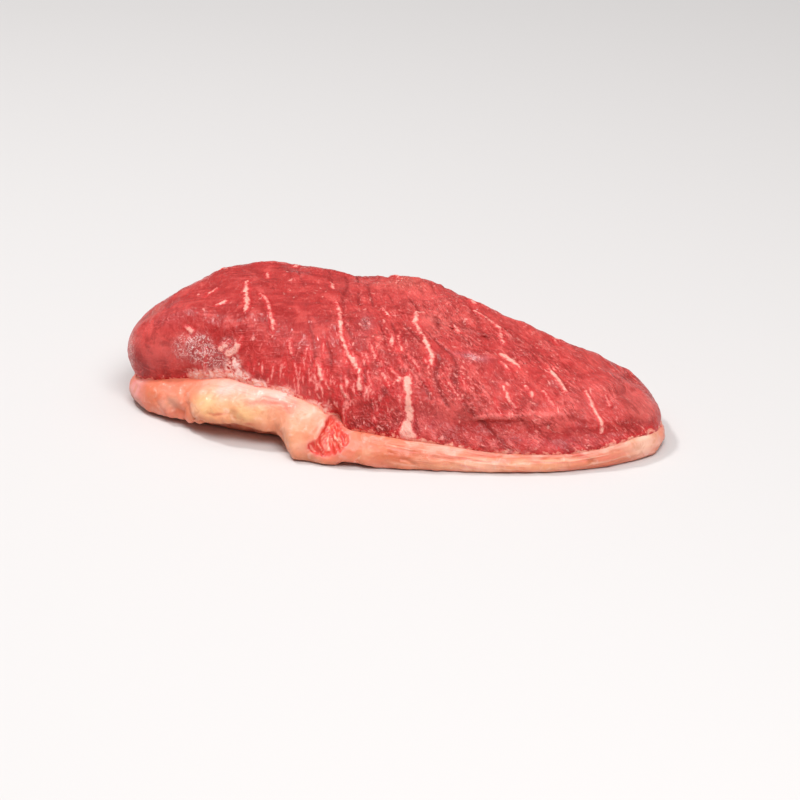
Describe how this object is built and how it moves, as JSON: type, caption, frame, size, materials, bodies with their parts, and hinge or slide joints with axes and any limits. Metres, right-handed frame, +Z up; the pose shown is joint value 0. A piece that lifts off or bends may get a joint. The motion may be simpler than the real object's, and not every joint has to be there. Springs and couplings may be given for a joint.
{
  "type": "raw picanha",
  "caption": "Raw beef rump cap, a thick tapering oval muscle lying on its fat cap, which shows as a pale rim along the front and a raised flap at the thick end.",
  "frame": {"origin": "middle of the bounding box on the resting plane", "axes": "+X along the muscle to its thin tip, +Y away from the trimmed front edge, +Z up"},
  "size_m": [0.2862, 0.1746, 0.0626],
  "materials": {
    "raw_muscle": "moist raw beef with pale marbling streaks",
    "beef_fat": "soft cream to salmon beef fat, slightly moist"
  },
  "bodies": {
    "root": {"lean": "raw_muscle", "fat_cap": "beef_fat"}
  },
  "joints": []
}
